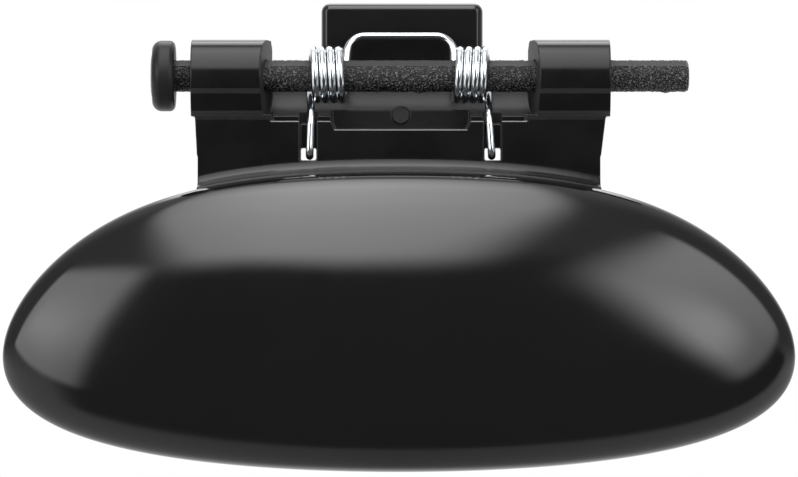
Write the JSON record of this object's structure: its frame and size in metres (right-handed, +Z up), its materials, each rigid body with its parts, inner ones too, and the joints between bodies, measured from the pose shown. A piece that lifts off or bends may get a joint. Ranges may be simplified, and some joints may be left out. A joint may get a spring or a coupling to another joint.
{
  "type": "car door handle",
  "caption": "Outside car door handle: a glossy oval pull flap on a hinge pin with a double torsion return spring and a latch lever.",
  "frame": {"origin": "on the hinge pin's axis, midway between the two lugs", "axes": "+X along the pin towards its flatted free end, +Y into the door, +Z up, as fitted with the flap shut"},
  "size_m": [0.1502, 0.0413, 0.09],
  "materials": {
    "gloss_black": "high gloss, smooth",
    "satin_black": "satin moulded plastic, polished on the lugs",
    "rough_black": "coarse spark-eroded texture",
    "black_rubber": "smooth moulded rubber",
    "zinc_wire": "bright zinc plate on drawn wire",
    "screw_steel": "zinc-plated steel"
  },
  "bodies": {
    "pin": {"hinge_pin": "rough_black", "pin_cap": "black_rubber", "return_spring": "zinc_wire"},
    "handle": {"grip_cover": "gloss_black", "grip_back_shell": "satin_black", "hinge_bracket": "satin_black", "release_lever": "satin_black", "grip_screw_1": "screw_steel", "grip_screw_2": "screw_steel", "grip_screw_3": "screw_steel", "grip_screw_4": "screw_steel", "lever_screw_1": "screw_steel", "lever_screw_2": "screw_steel", "bump_stop_left": "black_rubber", "bump_stop_right": "black_rubber"}
  },
  "joints": [
    {"name": "grip_hinge", "type": "hinge", "parent": "pin", "child": "handle", "pos_m": [0, 0, 0], "axis": [-1, 0, 0], "range_deg": [0, 32], "stiffness_Nm_per_rad": 0.84, "springref_deg": -29.79, "deforming": ["return_spring"]}
  ]
}
